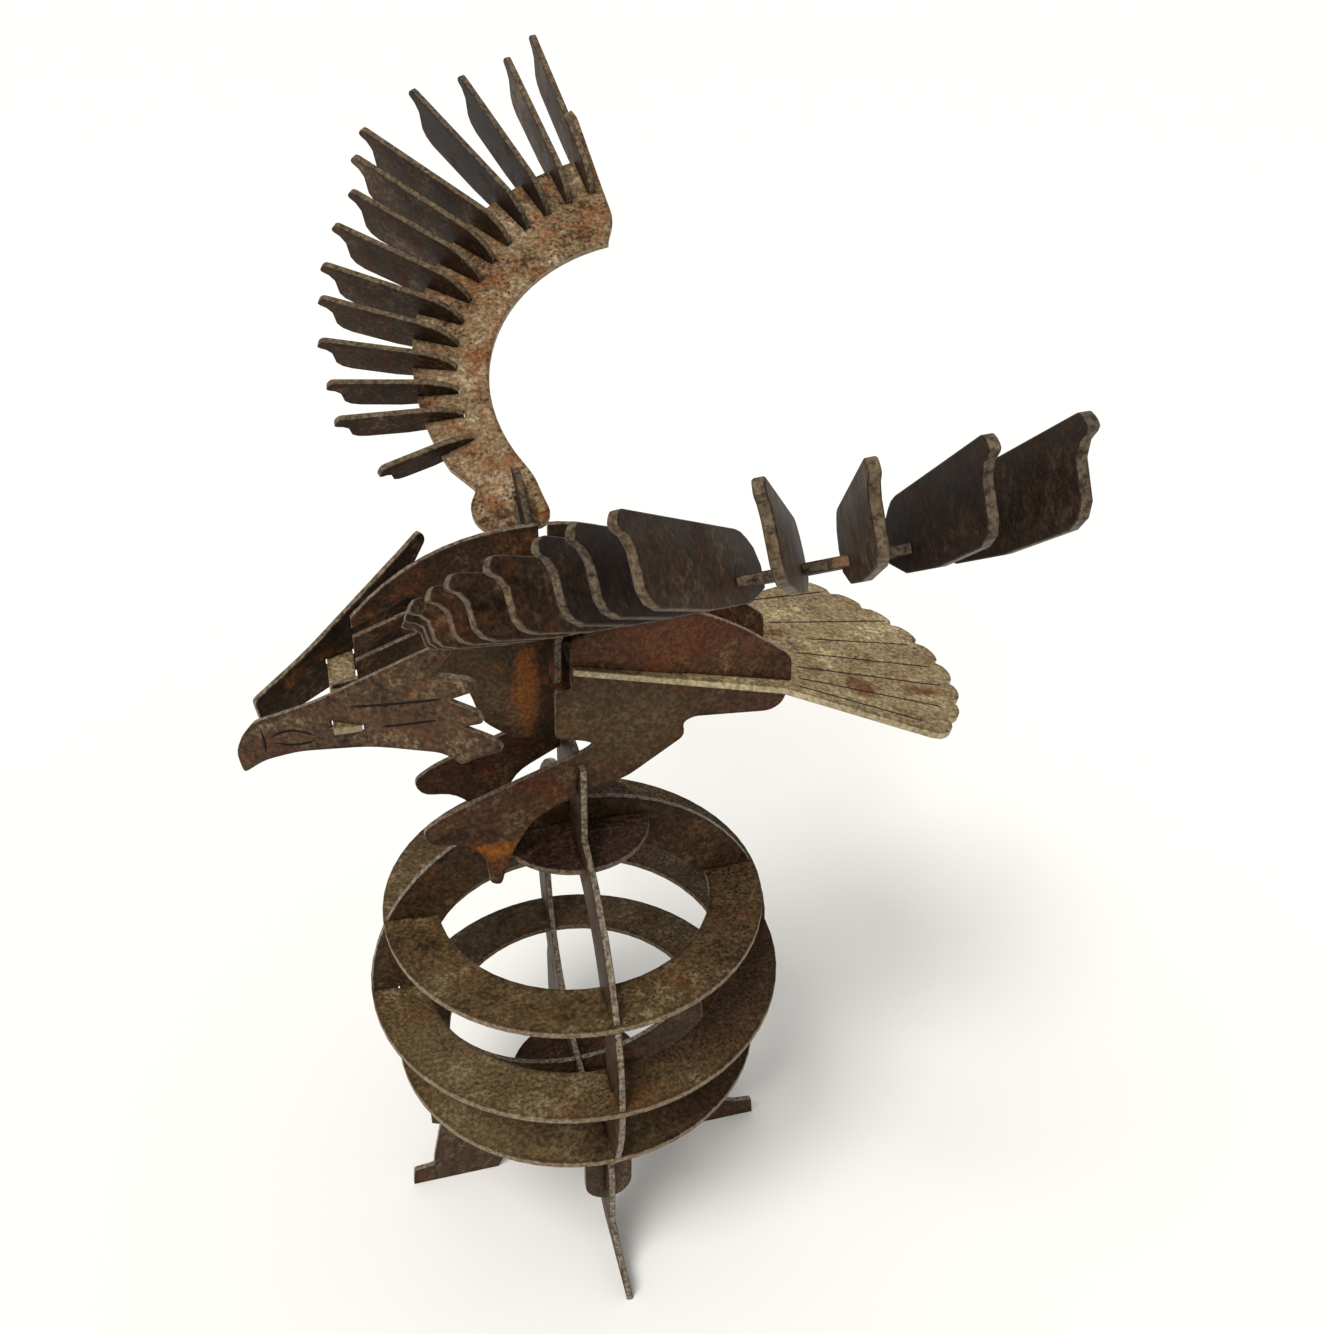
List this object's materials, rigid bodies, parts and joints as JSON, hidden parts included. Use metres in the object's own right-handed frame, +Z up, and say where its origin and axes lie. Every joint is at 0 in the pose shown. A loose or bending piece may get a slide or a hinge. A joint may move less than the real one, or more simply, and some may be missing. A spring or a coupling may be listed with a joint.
{
  "type": "scrap metal eagle sculpture",
  "caption": "Eagle of slotted steel plates, wings raised and feathers fanned, perched on an open globe of crossed rings that stands on legs.",
  "frame": {"origin": "middle of the whole sculpture's box in plan, on the plane of the feet", "axes": "+Z up; -X is the way the eagle faces; -Y is the eagle's left"},
  "size_m": [0.3212, 0.504, 0.5339],
  "materials": {
    "globe_steel": "hot-rolled steel, brown with fine rust specks",
    "body_steel": "hot-rolled steel, warm brown rust",
    "head_steel": "hot-rolled steel, olive brown with orange rust at the edges",
    "wing_steel": "hot-rolled steel, tan with grey mill scale and orange rust at the slots",
    "feather_steel": "hot-rolled steel, dark brown, edges rubbed bright",
    "tail_steel": "hot-rolled steel, pale tan with thin rust streaks"
  },
  "bodies": {
    "root": {"globe_ring_upper": "globe_steel", "globe_ring_equator": "globe_steel", "globe_ring_lower": "globe_steel", "globe_ring_long_with_legs": "globe_steel", "globe_ring_cross_with_legs": "globe_steel", "globe_disc_top": "globe_steel", "globe_disc_bottom": "globe_steel", "leg_tab_front": "globe_steel", "leg_tab_left": "globe_steel", "feather_right_01": "feather_steel", "feather_right_02": "feather_steel", "feather_right_03": "feather_steel", "feather_right_04": "feather_steel", "feather_right_05": "feather_steel", "feather_right_06": "feather_steel", "feather_right_07": "feather_steel", "feather_right_08": "feather_steel", "feather_right_09": "feather_steel", "feather_right_10": "feather_steel", "feather_right_11": "feather_steel", "feather_right_12": "feather_steel", "feather_right_13": "feather_steel", "feather_right_14": "feather_steel", "wing_plate_right": "wing_steel", "feather_left_01": "feather_steel", "feather_left_02": "feather_steel", "feather_left_03": "feather_steel", "feather_left_04": "feather_steel", "feather_left_05": "feather_steel", "feather_left_06": "feather_steel", "feather_left_07": "feather_steel", "feather_left_08": "feather_steel", "feather_left_09": "feather_steel", "feather_left_10": "feather_steel", "feather_left_11": "feather_steel", "feather_left_12": "feather_steel", "feather_left_13": "feather_steel", "feather_left_14": "feather_steel", "wing_plate_left": "wing_steel", "wing_yoke": "body_steel", "keel_plate": "body_steel", "body_side_left": "body_steel", "body_side_right": "body_steel", "tail_fan": "tail_steel", "head_left": "head_steel", "head_right": "head_steel", "head_bar": "tail_steel"}
  },
  "joints": []
}
